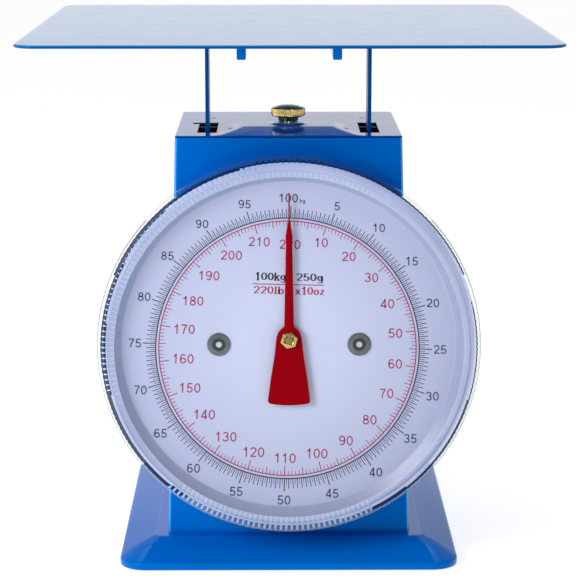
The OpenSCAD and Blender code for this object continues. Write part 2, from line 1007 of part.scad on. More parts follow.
base_plate();
rubber_feet();
foot_screws();
body_shell();
foot_brackets();
body_screws();
top_cover();
top_screws();
rear_cover();
rear_screws();
front_plate();
bearing_bracket();
bracket_screws();
shaft_bushes();
dial_housing();
dial_spacers();
dial_face();
dial_washers();
dial_screws();
dial_cover();
top_bridge();
guide_column();
column_screws();
column_pins();
stop_post();
stop_buffer();
zero_knob();
adjust_screw();
spring_hanger();
left_spring();
right_spring();
load_bar();
left_post();
right_post();
yoke_bar();
yoke_rivets();
guide_pins();
rack();
rack_screws();
upper_stay();
lower_stay();
pan();
left_rib();
right_rib();
pointer_shaft();
pinion();
pointer_hub();
pointer();
pointer_nut();
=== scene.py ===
import math
import bpy
import bmesh
from mathutils import Matrix, Vector


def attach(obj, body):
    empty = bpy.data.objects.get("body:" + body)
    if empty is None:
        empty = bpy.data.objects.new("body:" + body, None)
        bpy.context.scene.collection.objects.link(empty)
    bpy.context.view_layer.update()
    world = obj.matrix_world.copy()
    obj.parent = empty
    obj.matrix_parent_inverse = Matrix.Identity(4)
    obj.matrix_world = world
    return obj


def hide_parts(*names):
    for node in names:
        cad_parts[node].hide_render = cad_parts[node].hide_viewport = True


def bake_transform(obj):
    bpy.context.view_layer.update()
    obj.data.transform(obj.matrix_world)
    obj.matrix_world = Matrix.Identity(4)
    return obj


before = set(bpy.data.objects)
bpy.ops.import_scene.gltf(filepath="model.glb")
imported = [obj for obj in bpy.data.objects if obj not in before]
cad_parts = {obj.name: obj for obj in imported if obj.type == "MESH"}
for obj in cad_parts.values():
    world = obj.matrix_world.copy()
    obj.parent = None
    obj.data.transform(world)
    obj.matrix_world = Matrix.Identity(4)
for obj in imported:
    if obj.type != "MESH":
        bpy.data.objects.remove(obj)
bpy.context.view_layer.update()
scene = bpy.context.scene
scene.view_settings.view_transform = "Standard"

# ---- camera ----

camera = bpy.data.objects.new("camera", bpy.data.cameras.new("camera"))
scene.collection.objects.link(camera)
camera.data.lens = 127.9
camera.data.sensor_width = 36
camera.location = (-0.0098, -1.3746, 0.4727)
camera.rotation_euler = (math.pi / 2 - 0.21, 0, -0.007)
scene.camera = camera

# ---- light and floor ----

world = bpy.data.worlds.new("studio")
scene.world = world
world.use_nodes = True
world.node_tree.nodes.clear()


def world_node(kind, source=None, **values):
    """A node of the studio world, fed by source, with its other inputs set by name."""
    node = world.node_tree.nodes.new("ShaderNode" + kind)
    for key, value in values.items():
        node.inputs[key.replace("_", " ")].default_value = value
    if source:
        world.node_tree.links.new(source, node.inputs[0])
    return node


# Bright behind the scale, darker behind the camera, and falling off to both sides
direction = world_node("SeparateXYZ", world_node("TexCoord").outputs["Generated"])
depth = world_node("MapRange", direction.outputs["Y"], From_Min=-0.6, From_Max=0.35)
depth_tone = world_node("ValToRGB", depth.outputs[0])
depth_tone.color_ramp.elements[0].color = (0.36, 0.36, 0.36, 1)
depth_tone.color_ramp.elements[1].color = (1, 1, 1, 1)
off_axis = world_node("Math", direction.outputs["X"])
off_axis.operation = "ABSOLUTE"
side_tone = world_node("MapRange", off_axis.outputs[0], From_Min=0.15, From_Max=0.36, To_Min=1.0, To_Max=0.5)
side_tone.interpolation_type = "SMOOTHSTEP"
background = world_node("Background", depth_tone.outputs["Color"])
world.node_tree.links.new(side_tone.outputs[0], background.inputs["Strength"])
world_node("OutputWorld", background.outputs[0])


def area_light(name, place, target, size, power):
    lamp = bpy.data.lights.new(name, "AREA")
    lamp.shape = "RECTANGLE"
    lamp.size, lamp.size_y = size
    lamp.energy = power
    ob = bpy.data.objects.new(name, lamp)
    scene.collection.objects.link(ob)
    ob.location = place
    ob.rotation_euler = (Vector(target) - Vector(place)).to_track_quat("-Z", "Y").to_euler()


DIAL_MIDDLE = (0, 0, 0.18)
area_light("key_left", (-0.85, -0.8, 0.65), DIAL_MIDDLE, size=(0.45, 0.6), power=12.5)
area_light("fill_right", (1.6, -0.8, 0.8), DIAL_MIDDLE, size=(0.8, 1.0), power=3)
area_light("top_soft", (0, 0.2, 1.9), (0, 0, 0.1), size=(1.6, 1.6), power=9)

# ---- sizes shared by several pieces, in mm ----

MM = 0.001
SHEET = 1.2
PAN_HALF, PAN_UNDER, PAN_TOP = 165.0, 359.0, 361.0
FOOT_Z, TOP_Z = 17.0, 288.8
FOOT_HALF, TOP_HALF = 82.5, 75.0
FRONT_Y, FOOT_REAR, TOP_REAR = -38.5, 125.0, 91.5
DIAL_Z, DIAL_Y, HUB_Z = 155.5, -70.5, 161.0
SCREW_X, SCREW_Z = (-46, 46), 157.0
CENTRE = (0, 0, DIAL_Z)

# ---- mesh helpers: millimetres in, metres out ----


def mm(p):
    return Vector(p) * MM


def piece(name, bm, body, mat, stands_for=(), angle=35, merge=True):
    if merge:
        bmesh.ops.remove_doubles(bm, verts=bm.verts, dist=1e-7)
    bmesh.ops.recalc_face_normals(bm, faces=bm.faces)
    mesh = bpy.data.meshes.new(name)
    bm.to_mesh(mesh)
    bm.free()
    mesh.materials.append(mat)
    mesh.shade_smooth()
    mesh.set_sharp_from_angle(angle=math.radians(angle))
    ob = bpy.data.objects.new(name, mesh)
    scene.collection.objects.link(ob)
    if body:
        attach(ob, body)
    if stands_for:
        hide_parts(*stands_for)
    return ob


def rounded(points, steps=5, closed=True):
    """Polyline through (x, y, radius) corners, each corner turned into an arc."""
    out = []
    n = len(points)
    for i, (x, y, r) in enumerate(points):
        p = Vector((x, y))
        if r <= 0 or (not closed and i in (0, n - 1)):
            out.append(p)
            continue
        a = Vector(points[i - 1][:2]) - p
        b = Vector(points[(i + 1) % n][:2]) - p
        ang = a.angle(b)
        cut = r / math.tan(ang / 2)
        a.normalize()
        b.normalize()
        mid = p + (a + b).normalized() * (r / math.sin(ang / 2))
        s, e = p + a * cut - mid, p + b * cut - mid
        turn = s.angle_signed(e)
        out += [mid + Matrix.Rotation(-turn * k / steps, 2) @ s for k in range(steps + 1)]
    return out


def lathe(bm, profile, centre=(0, 0, 0), axis="Z", turns=96, radius=None, closed=True):
    """Revolves (radius, height) points in mm; radius(r, h, angle) may bend each ring."""
    c = Vector(centre)
    rings = []
    for r, h in profile:
        ring = []
        for k in range(turns if r > 1e-6 else 1):
            a = 2 * math.pi * k / turns
            q = radius(r, h, a) if radius and r > 1e-6 else r
            x, y = q * math.cos(a), q * math.sin(a)
            p = (x, y, h) if axis == "Z" else (x, h, y)
            ring.append(bm.verts.new(mm(Vector(p) + c)))
        rings.append(ring)
    for i in range(len(rings) if closed else len(rings) - 1):
        skin(bm, rings[i], rings[(i + 1) % len(rings)])


def skin(bm, a, b):
    """Faces between two closed rings; a ring of one point makes a fan."""
    if len(a) == 1 and len(b) == 1:
        return
    n = max(len(a), len(b))
    for k in range(n):
        j = (k + 1) % n
        f = [a[k % len(a)], a[j % len(a)], b[j % len(b)], b[k % len(b)]]
        f = [v for i, v in enumerate(f) if v not in f[:i]]
        if len(f) > 2:
            bm.faces.new(f)


def loft(bm, loops, ends=True):
    """Skin through closed loops of points, with a face on each end."""
    rings = [[bm.verts.new(mm(p)) for p in loop] for loop in loops]
    for a, b in zip(rings, rings[1:]):
        skin(bm, a, b)
    if ends:
        bm.faces.new(rings[0])
        bm.faces.new(rings[-1])


def round_loop(x0, y0, x1, y1, r, z, steps=10):
    pts = rounded([(x0, y0, r), (x1, y0, r), (x1, y1, r), (x0, y1, r)], steps)
    return [(p.x, p.y, z) for p in pts]


def prism(bm, outline, h0, h1, frame_of=lambda x, y, h: (x, y, h), bevel=0.0, steps=2):
    """Solid between two copies of an outline; frame_of turns (x, y, height) into a place."""
    lo = [bm.verts.new(mm(frame_of(x, y, h0))) for x, y in outline]
    hi = [bm.verts.new(mm(frame_of(x, y, h1))) for x, y in outline]
    made = [bm.faces.new(lo), bm.faces.new(hi)]
    n = len(lo)
    for k in range(n):
        made.append(bm.faces.new((lo[k], lo[(k + 1) % n], hi[(k + 1) % n], hi[k])))
    if bevel:
        edges = {e for f in made for e in f.edges}
        soften(bm, bevel, steps, edges)


def soften(bm, width, steps, edges, angle=30):
    """Bevels those of the edges that turn by more than angle."""
    bmesh.ops.recalc_face_normals(bm, faces=bm.faces)
    sharp = [e for e in edges if len(e.link_faces) == 2 and e.calc_face_angle(0) > math.radians(angle)]
    bmesh.ops.bevel(
        bm, geom=sharp, offset=width * MM, segments=steps, profile=0.5, affect="EDGES", clamp_overlap=True
    )


def block(bm, x0, x1, y0, y1, z0, z1, bevel=0.3, steps=2):
    prism(bm, [(x0, y0), (x1, y0), (x1, y1), (x0, y1)], z0, z1, bevel=bevel, steps=steps)


def drill(ob, cuts):
    """Cuts round holes, given as (start, end, radius) in mm, or shapes that a function draws."""
    bm = bmesh.new()
    for cut in cuts:
        if callable(cut):
            cut(bm)
            continue
        start, end, r = Vector(cut[0]), Vector(cut[1]), cut[2]
        along = end - start
        turn = along.to_track_quat("Z", "Y").to_matrix().to_4x4()
        place = Matrix.Translation((start + along / 2) * MM) @ turn
        size = {"radius1": r * MM, "radius2": r * MM, "depth": along.length * MM}
        bmesh.ops.create_cone(bm, cap_ends=True, segments=32, matrix=place, **size)
    bmesh.ops.recalc_face_normals(bm, faces=bm.faces)
    mesh = bpy.data.meshes.new("cutter")
    bm.to_mesh(mesh)
    bm.free()
    tool = bpy.data.objects.new("cutter", mesh)
    scene.collection.objects.link(tool)
    mod = ob.modifiers.new("cut", "BOOLEAN")
    mod.operation = "DIFFERENCE"
    mod.solver = "EXACT"
    mod.object = tool
    bpy.context.view_layer.update()
    done = bpy.data.meshes.new_from_object(ob.evaluated_get(bpy.context.evaluated_depsgraph_get()))
    ob.modifiers.clear()
    old = ob.data
    ob.data = done
    done.name = old.name
    bpy.data.meshes.remove(old)
    bpy.data.objects.remove(tool)
    bpy.data.meshes.remove(mesh)


# ---- materials ----


class Shader:
    """A Principled material with its coordinates in the object's own metres."""

    def __init__(self, name, **sockets):
        self.mat = bpy.data.materials.new(name)
        self.mat.use_nodes = True
        self.tree = self.mat.node_tree
        self.bsdf = self.tree.nodes["Principled BSDF"]
        self.coord = self.tree.nodes.new("ShaderNodeTexCoord").outputs["Object"]
        for key, value in sockets.items():
            self.bsdf.inputs[key.replace("_", " ")].default_value = value

    def link(self, a, b):
        self.tree.links.new(a, b)

    def stretched(self, scale):
        node = self.tree.nodes.new("ShaderNodeMapping")
        node.inputs["Scale"].default_value = scale
        self.link(self.coord, node.inputs["Vector"])
        return node.outputs[0]

    def noise(self, scale, detail=2.0, vector=None, rough=0.5):
        node = self.tree.nodes.new("ShaderNodeTexNoise")
        node.inputs["Scale"].default_value = scale
        node.inputs["Detail"].default_value = detail
        node.inputs["Roughness"].default_value = rough
        self.link(vector or self.coord, node.inputs["Vector"])
        return node.outputs["Fac"]

    def spread(self, value, low, high, start=0.3, end=0.7):
        node = self.tree.nodes.new("ShaderNodeMapRange")
        node.inputs["From Min"].default_value = start
        node.inputs["From Max"].default_value = end
        node.inputs["To Min"].default_value = low
        node.inputs["To Max"].default_value = high
        self.link(value, node.inputs["Value"])
        return node.outputs[0]

    def colours(self, value, *stops):
        node = self.tree.nodes.new("ShaderNodeValToRGB")
        ramp = node.color_ramp
        while len(ramp.elements) < len(stops):
            ramp.elements.new(0.5)
        for element, (place, colour) in zip(ramp.elements, stops):
            element.position = place
            element.color = (*colour, 1)
        self.link(value, node.inputs["Fac"])
        self.link(node.outputs["Color"], self.bsdf.inputs["Base Color"])

    def roughness(self, value):
        self.link(value, self.bsdf.inputs["Roughness"])

    def bump(self, value, depth_mm, strength=1.0, under=None):
        node = self.tree.nodes.new("ShaderNodeBump")
        node.inputs["Strength"].default_value = strength
        node.inputs["Distance"].default_value = depth_mm * MM
        self.link(value, node.inputs["Height"])
        if under is not None:
            self.link(under, node.inputs["Normal"])
        self.link(node.outputs[0], self.bsdf.inputs["Normal"])
        return node.outputs[0]


def paint(name, dark, light, tint, low=0.06, high=0.13, peel=0.006):
    """Sprayed enamel: slight depth of colour, orange peel, and fine dust in the gloss."""
    s = Shader(name, Specular_Tint=(*tint, 1), IOR=1.5)
    s.colours(s.noise(9, 4), (0.3, dark), (0.7, light))
    s.roughness(s.spread(s.noise(60, 5), low, high))
    wave = s.bump(s.noise(260, 2), peel)
    s.bump(s.noise(2600, 1), peel * 0.25, under=wave)
    return s.mat


def metal(name, dark, light, low, high, stretch=(1, 1, 1), grain=900, depth=0.01, metallic=1.0):
    """Bare or plated metal: cloudy plating, with drawn or turned grain in its gloss."""
    s = Shader(name, Metallic=metallic)
    s.colours(s.noise(70, 6, rough=0.6), (0.3, dark), (0.7, light))
    lines = s.noise(grain, 3, s.stretched(stretch))
    s.roughness(s.spread(lines, low, high))
    s.bump(lines, depth, 0.6)
    return s.mat


def dial_white_painted_shade(name, measure, vector, start, end, near, far):
    """White enamel with painted shade: its tone follows its place on the dial, measured from the middle of the
    plate.
    """
    s = Shader(name, IOR=1.5)
    place = s.tree.nodes.new("ShaderNodeMapping")
    place.inputs["Location"].default_value = (0, 0, -DIAL_Z * MM)
    place.inputs["Scale"].default_value = (1, 0, 1)
    s.link(s.coord, place.inputs["Vector"])
    tone = s.tree.nodes.new("ShaderNodeVectorMath")
    tone.operation = measure
    s.link(place.outputs[0], tone.inputs[0])
    tone.inputs[1].default_value = vector
    s.colours(s.spread(tone.outputs["Value"], 0, 1, start, end), (0, near), (1, far))
    s.roughness(s.spread(s.noise(60, 1), 0.28, 0.32))
    wave = s.bump(s.noise(260, 2), 0.004)
    s.bump(s.noise(2600, 1), 0.001, under=wave)
    return s.mat


BLUE = paint("blue_enamel", (0.0, 0.118, 0.5), (0.0, 0.13, 0.53), (0.0, 0.35, 0.8))
# Lighter blue for the casing's front corner bends: a painted highlight.
BLUE_PAINTED_HIGHLIGHT = paint("blue_enamel_painted_highlight", (0.02, 0.36, 0.8), (0.04, 0.44, 0.88), (0.1, 0.5, 0.9))
# Dark blue paint of the yoke, also used as painted shade on the lower half of the platform's edge.
YOKE_PAINT_AND_EDGE_SHADE = paint("blue_yoke_paint_and_painted_edge_shade", (0.0, 0.06, 0.21), (0.0, 0.07, 0.25), (0.0, 0.35, 1.0), 0.25, 0.4, 0.012)
PAN_BLUE = paint("blue_platform_enamel", (0.0, 0.14, 0.42), (0.0, 0.15, 0.46), (0.0, 0.35, 0.8))
# Dial face darker from the middle out to the rim: painted shadow of the rim; its blue cast is painted blue light.
WHITE_PAINTED_RIM_SHADE = dial_white_painted_shade("white_enamel_painted_rim_shade", "LENGTH", (0, 0, 0), 0.03, 0.108, (0.6, 0.65, 0.87), (0.45, 0.49, 0.71))
# The dial's rising dish wall: painted shade, much darker than the face, its tone changing from lower right to
# upper left.
DIAL_WALL_PAINTED_SHADE = dial_white_painted_shade(
    "dial_wall_painted_shade", "DOT_PRODUCT", (-0.7071, 0, 0.7071), -0.03, 0.1, (0.365, 0.4, 0.58), (0.34, 0.42, 0.64)
)
RED = paint("red_enamel", (0.27, 0.0, 0.005), (0.3, 0.001, 0.008), (0.6, 0.02, 0.02), 0.1, 0.2, 0.004)
BRASS = metal("brass_turned", (0.55, 0.4, 0.14), (0.7, 0.55, 0.26), 0.14, 0.32, (1, 1, 8), 700)
ZINC = metal("zinc_plate", (0.44, 0.46, 0.48), (0.62, 0.63, 0.64), 0.22, 0.42, (1, 1, 6), 500)
WIRE = metal("spring_wire", (0.25, 0.26, 0.28), (0.4, 0.41, 0.43), 0.25, 0.45, (1, 1, 1), 1200)
WASHER = metal("chromate_plate", (0.1, 0.12, 0.13), (0.2, 0.225, 0.235), 0.3, 0.5, (1, 1, 1), 1500, 0.02)
# Darker ring round each dial screw head: painted shade.
WASHER_PAINTED_SHADE = metal(
    "chromate_plate_painted_shade", (0.05, 0.06, 0.065), (0.09, 0.105, 0.11), 0.4, 0.6, (1, 1, 1), 1500, 0.02
)
OLIVE = metal("olive_brass", (0.2, 0.19, 0.06), (0.38, 0.36, 0.14), 0.2, 0.4, (1, 1, 4), 900)
# Near-black steel for the bridge seen through the top slots: painted shade, so the slots read black.
BRIDGE_PAINTED_SHADE = metal(
    "near_black_steel_painted_shade", (0.012, 0.013, 0.015), (0.03, 0.032, 0.036), 0.5, 0.7, (1, 1, 1), 1800, 0.02, 0.4
)
# Near-black for the walls of the top slots: painted shade.
SLOT_WALL_PAINTED_SHADE = metal(
    "slot_wall_painted_shade", (0.01, 0.012, 0.018), (0.03, 0.034, 0.045), 0.45, 0.7, (1, 1, 6), 1200, 0.02, 0.3
)
BRONZE = metal("sintered_bronze", (0.4, 0.26, 0.12), (0.55, 0.38, 0.2), 0.35, 0.6, (1, 1, 1), 2500, 0.03)


def dull(name, gloss, dark, light):
    """Rubber, or rough dark paint that does not shine, used for painted shade."""
    s = Shader(name, Specular_IOR_Level=gloss)
    s.colours(s.noise(120, 5), (0.3, dark), (0.7, light))
    s.roughness(s.spread(s.noise(400, 4), 0.6, 0.85))
    s.bump(s.noise(1500, 3), 0.04)
    return s.mat


def ink(name, dark, light):
    """Matt printing ink."""
    s = Shader(name)
    s.colours(s.noise(350, 4), (0.3, dark), (0.7, light))
    s.roughness(s.spread(s.noise(900, 3), 0.45, 0.65))
    s.bump(s.noise(3000, 1), 0.002)
    return s.mat


def clear(name, weak, strong, gloss, dark, light):
    """Clear moulded plastic: seen through face on, whiter where it is seen edge on."""
    s = Shader(name, IOR=1.49, Specular_IOR_Level=gloss)
    facing = s.tree.nodes.new("ShaderNodeLayerWeight")
    facing.inputs["Blend"].default_value = 0.5
    s.link(s.spread(facing.outputs["Facing"], weak, strong, 0.05, 0.95), s.bsdf.inputs["Alpha"])
    s.colours(s.noise(25, 2), (0.3, dark), (0.7, light))
    s.roughness(s.spread(s.noise(80, 4), 0.02, 0.06))
    s.bump(s.noise(30, 1), 0.001)
    return s.mat


RUBBER = dull("moulded_rubber", 0.35, (0.018, 0.018, 0.019), (0.04, 0.04, 0.042))
# Near-black navy for the edge of the casing top and for its screws: painted shade.
DARK_PAINTED_SHADE = dull("dark_blue_painted_shade", 0.03, (0.002, 0.012, 0.05), (0.005, 0.025, 0.09))
INK_BLACK = ink("ink_black", (0.02, 0.025, 0.05), (0.045, 0.05, 0.09))
INK_RED = ink("ink_red", (0.32, 0.02, 0.09), (0.42, 0.04, 0.13))
CLEAR = clear("clear_moulded_lens", 0.0, 0.3, 0.1, (0.1, 0.11, 0.13), (0.14, 0.15, 0.17))
CLEAR_RIM = clear("clear_moulded_rim", 0.16, 0.3, 0.05, (0.55, 0.66, 0.78), (0.65, 0.75, 0.86))
# Rib materials paint what the ribs show: light crests as painted highlights, the outline and the dark drum behind
# as painted shade, the dial and drum lip as painted refraction.
CLEAR_RIB_PAINTED_HIGHLIGHT = clear("clear_rib_painted_highlight", 0.5, 0.7, 0.15, (0.5, 0.64, 0.85), (0.6, 0.72, 0.92))
CLEAR_EDGE_PAINTED_SHADE = clear("clear_edge_painted_shade", 0.5, 0.6, 0.0, (0.12, 0.15, 0.18), (0.2, 0.24, 0.28))
CLEAR_DRUM_PAINTED_SHADE = clear("clear_rib_painted_drum_shade", 0.92, 0.97, 0.05, (0.004, 0.014, 0.05), (0.01, 0.028, 0.085))
CLEAR_DIAL_PAINTED_REFRACTION = clear("clear_rib_painted_dial_refraction", 0.42, 0.5, 0.3, (0.5, 0.55, 0.78), (0.6, 0.65, 0.88))
CLEAR_LIP_PAINTED_REFRACTION = clear("clear_rib_painted_lip_refraction", 0.8, 0.86, 0.3, (0.42, 0.49, 0.71), (0.52, 0.58, 0.79))

# ---- pan and ribs ----

bm = bmesh.new()
pan_edge = [
    (4, PAN_UNDER), (0.8, PAN_UNDER), (0.3, 359.15), (0.05, 359.5), (0, 360.0), (0.05, 360.45), (0.3, 360.82),
    (0.8, PAN_TOP), (4, PAN_TOP),
]
half_sizes = [(PAN_HALF - inset, 15 - inset, z) for inset, z in pan_edge]
loft(bm, [round_loop(-half, -half, half, half, r, z, 14) for half, r, z in half_sizes])
pan = piece("platform_sheet", bm, "platform", PAN_BLUE, ["pan"])
# The lower half of the platform's rounded edge takes the dark yoke blue: painted shade.
pan.data.materials.append(YOKE_PAINT_AND_EDGE_SHADE)
for f in pan.data.polygons:
    if f.center.z < 0.3606 and abs(f.normal.z) < 0.8:
        f.material_index = 1

for node, x in (("left_rib", -30), ("right_rib", 30)):
    bm = bmesh.new()
    block(bm, x - 2.9, x + 2.9, -100, 100, 346, PAN_UNDER, 0.8, 3)
    ob = piece(node + "_channel", bm, "platform", BLUE, [node])

    def hollow(cut, x=x):
        block(cut, x - 1.7, x + 1.7, -98.8, 98.8, 330, PAN_UNDER - 1.2, 0)

    def notch(cut, x=x):
        block(cut, x - 6, x + 6, -13, 13, 330, 352.2, 0)

    drill(ob, [hollow])
    drill(ob, [notch])

# ---- casing ----


def at_height(z):
    """Half width and rear face of the tapered casing."""
    t = (z - FOOT_Z) / (TOP_Z - FOOT_Z)
    return FOOT_HALF + (TOP_HALF - FOOT_HALF) * t, FOOT_REAR + (TOP_REAR - FOOT_REAR) * t


def shell_section(z):
    half, rear = at_height(z)
    rear -= SHEET + 0.2

    def wrap(side, inset, rear_r, front_r):
        """One face of the sheet, from the flange on one side round the front to the other."""
        x, y = side * (half - inset), FRONT_Y + inset
        back = rear - inset
        corners = [(side * 62, back, 0), (x, back, rear_r), (x, y, front_r)]
        corners += [(-x, y, front_r), (-x, back, rear_r), (-side * 62, back, 0)]
        return rounded(corners, 8, False)

    return [(p.x, p.y, z) for p in wrap(-1, 0, 2.2, 3) + wrap(1, SHEET, 1, 1.8)]


def dial_holes(start, end, hub_r, screw_r):
    """Holes along Y for the pointer shaft and the two dial screws."""
    holes = [(0, HUB_Z, hub_r)] + [(x, SCREW_Z, screw_r) for x in SCREW_X]
    return [((x, start, z), (x, end, z), r) for x, z, r in holes]


bm = bmesh.new()
loft(bm, [shell_section(z) for z in (FOOT_Z, FOOT_Z + 0.4, 150, TOP_Z - 0.4, TOP_Z)])
shell = piece("casing_shell", bm, "root", BLUE, ["body_shell"])
lean = math.atan((FOOT_REAR - TOP_REAR) / (TOP_Z - FOOT_Z))
normal = Vector((0, math.cos(lean), math.sin(lean)))
rear_screw_places = [Vector((s * 68, at_height(z)[1], z)) for z in (40, 150, 262) for s in (-1, 1)]
rear_holes = [(p - normal * 8, p + normal * 8, 1.55) for p in rear_screw_places]
drill(shell, dial_holes(-45, -30, 8, 2.3) + rear_holes)

# The faces round the casing's front corner bends take the lighter blue: a painted highlight.
shell.data.materials.append(BLUE_PAINTED_HIGHLIGHT)
for f in shell.data.polygons:
    turning = 0.5 < abs(f.normal.x) < 0.82 and f.normal.y < -0.4
    if turning and abs(f.center.x) > 0.07 and f.center.y < -0.037:
        f.material_index = 1

bm = bmesh.new()
loops = []
for depth, edge_in in ((SHEET, 0.0), (0.35, 0.0), (0.1, 0.1), (0, 0.35)):
    loop = []
    for z, s in ((FOOT_Z + edge_in, -1), (FOOT_Z + edge_in, 1), (TOP_Z - edge_in, 1), (TOP_Z - edge_in, -1)):
        half, rear = at_height(z)
        loop.append(Vector((s * (half - edge_in), rear, z)) - normal * depth)
    loops.append(loop)
loft(bm, loops)
rear_sheet = piece("casing_rear_sheet", bm, "root", BLUE, ["rear_cover"])
drill(rear_sheet, rear_holes)


def screw_head(bm, place, up, r, h, slot_width=0.55, shank=0.0, shank_r=0.0):
    """Pan head with a cross recess, its seat at place and its crown along up."""
    local = bmesh.new()
    crown = [(0, 0, 0), (r, 0, 0.15), (r, h * 0.55, 0), (r * 0.86, h * 0.88, 0), (r * 0.6, h, 0), (0, h + 0.08, 0)]
    lathe(local, [(p.x, p.y) for p in rounded(crown, 2, False)], turns=28, closed=False)
    stem = [(0, -shank), (shank_r * 0.8, -shank), (shank_r, -shank + 0.5), (shank_r, 0.02), (0, 0.02)]
    lathe(local, stem, turns=20, closed=False)
    mesh = bpy.data.meshes.new("head")
    bmesh.ops.remove_doubles(local, verts=local.verts, dist=1e-7)
    bmesh.ops.recalc_face_normals(local, faces=local.faces)
    local.to_mesh(mesh)
    local.free()
    ob = bpy.data.objects.new("head", mesh)
    scene.collection.objects.link(ob)

    def recess(cut):
        w = slot_width
        block(cut, -w / 2, w / 2, -r * 0.62, r * 0.62, h * 0.45, h + 1, 0)
        block(cut, -r * 0.62, r * 0.62, -w / 2, w / 2, h * 0.45, h + 1, 0)

    drill(ob, [recess])
    turn = Vector(up).to_track_quat("Z", "Y").to_matrix().to_4x4()
    ob.data.transform(Matrix.Translation(mm(place)) @ turn)
    bm.from_mesh(ob.data)
    bpy.data.objects.remove(ob)


bm = bmesh.new()
for p in rear_screw_places:
    screw_head(bm, p, normal, 3, 1.6, shank=6, shank_r=1.5)
piece("rear_screw_set", bm, "root", ZINC, ["rear_screws"])

# ---- casing top, with the pressed ramp in front of the knob ----


def smooth(a, b, x):
    """0 before a, 1 after b, and an S between them."""
    t = min(max((x - a) / (b - a), 0), 1)
    return t * t * (3 - 2 * t)


def top_height(x, y):
    """How far the casing top stands above flat: the pressed ramp, and the ring round the screw."""
    up = min(max((y - FRONT_Y) / 26.5, 0), 1)
    side = 45 - 15 * up
    ramp = up if up < 0.92 else 0.92 + 0.08 * math.sin((up - 0.92) / 0.08 * math.pi / 2)
    h = 3.1 * ramp * (1 - smooth(side, side + 9, abs(x))) * (1 - smooth(12, 26, y))
    r = math.hypot(x, y)
    return h + 1.5 * smooth(5.2, 7.4, r) * (1 - smooth(8.4, 14, r))


def grid_lines(low, high, step):
    """Places of grid lines, closer together near both ends."""
    ends = [0, 0.1, 0.25, 0.5, 0.8, 1.2, 2.0, 3.0]
    n = round((high - low - 6) / step)
    middle = [low + 3 + (high - low - 6) * k / n for k in range(1, n)]
    return [low + e for e in ends] + middle + [high - e for e in reversed(ends)]


xs = grid_lines(-75, 75, 1.5)
ys = grid_lines(FRONT_Y, TOP_REAR, 1.5)
bm = bmesh.new()


def top_point(x, y, level):
    """A point of the casing top, with round corners in plan and, at level 1, a rounded upper edge."""
    cx = min(max(x, -72), 72)
    cy = min(max(y, FRONT_Y + 3), TOP_REAR - 3)
    dx, dy = x - cx, y - cy
    far = max(abs(dx), abs(dy))
    if far > 0 and dx and dy:
        k = far / math.hypot(dx, dy)
        dx, dy = dx * k, dy * k
    inside = 3 - far
    drop = 0.0
    if level and inside < 1.2:
        drop = 1.2 - math.sqrt(max(1.44 - (1.2 - inside) ** 2, 0))
    z = TOP_Z + (SHEET if level else 0) + top_height(x, y) - drop * 0.98
    return bm.verts.new(mm((cx + dx, cy + dy, z)))


upper = [[top_point(x, y, 1) for x in xs] for y in ys]
lower = [[top_point(x, y, 0) for x in xs] for y in ys]
for j in range(len(ys) - 1):
    for i in range(len(xs) - 1):
        bm.faces.new((upper[j][i], upper[j][i + 1], upper[j + 1][i + 1], upper[j + 1][i]))
        bm.faces.new((lower[j][i], lower[j + 1][i], lower[j + 1][i + 1], lower[j][i + 1]))


def rim(grid):
    """The outermost points of the grid, in order."""
    last_row, last = len(ys) - 1, len(xs) - 1
    return (
        [grid[0][i] for i in range(last)]
        + [grid[j][last] for j in range(last_row)]
        + [grid[last_row][i] for i in range(last, 0, -1)]
        + [grid[j][0] for j in range(last_row, 0, -1)]
    )


skin(bm, rim(upper), rim(lower))
top = piece("casing_top", bm, "root", BLUE, ["top_cover"], angle=50)


def slots(cut):
    block(cut, 47.75, 60.75, -22, 30, 280, 300, 0)
    prism(cut, [(-60.75, -22), (-47.75, -22), (-47.75, 30), (-65, 30), (-65, 23), (-60.75, 23)], 280, 300)


TOP_SCREWS = [(-39, 0), (39, 0), (-52, 55), (52, 55)]
drill(top, [slots, ((0, 0, 280), (0, 0, 300), 3.6)] + [((x, y, 280), (x, y, 300), 1.7) for x, y in TOP_SCREWS])
top.data.materials.append(SLOT_WALL_PAINTED_SHADE)
top.data.materials.append(DARK_PAINTED_SHADE)
for f in top.data.polygons:
    x, y = abs(f.center.x) / MM, f.center.y / MM
    outer = max(x - TOP_HALF, FRONT_Y - y, y - TOP_REAR)
    # The edge faces of the casing top are near-black: painted shade.
    if abs(f.normal.z) < 0.6 and outer > -0.8:
        f.material_index = 2
    # The walls of the slots take the near-black painted shade.
    if abs(f.normal.z) < 0.3 and 47.5 < x < 65.5 and -23 < y < 31:
        f.material_index = 1

bm = bmesh.new()
for x, y in TOP_SCREWS:
    up = top_height(x, y)
    screw_head(bm, (x, y, TOP_Z + SHEET + up), (0, 0, 1), 3, 1.8, shank=6 + up, shank_r=1.6)
# The top screws are near-black navy: a painted dark reflection.
piece("top_screw_set", bm, "root", DARK_PAINTED_SHADE, ["top_screws"])

# ---- base tray ----

TRAY_HALF, TRAY_FRONT, TRAY_REAR = 114.5, -69.5, 164.5


def tray_loop(inset, z, r):
    """One level of the tray: its front corners have radius r, its rear corners are tighter."""
    x, y0, y1 = TRAY_HALF - inset, TRAY_FRONT + inset, TRAY_REAR - inset
    pts = rounded([(-x, y0, r), (x, y0, r), (x, y1, r / 2), (-x, y1, r / 2)], 12)
    return [(p.x, p.y, z) for p in pts]


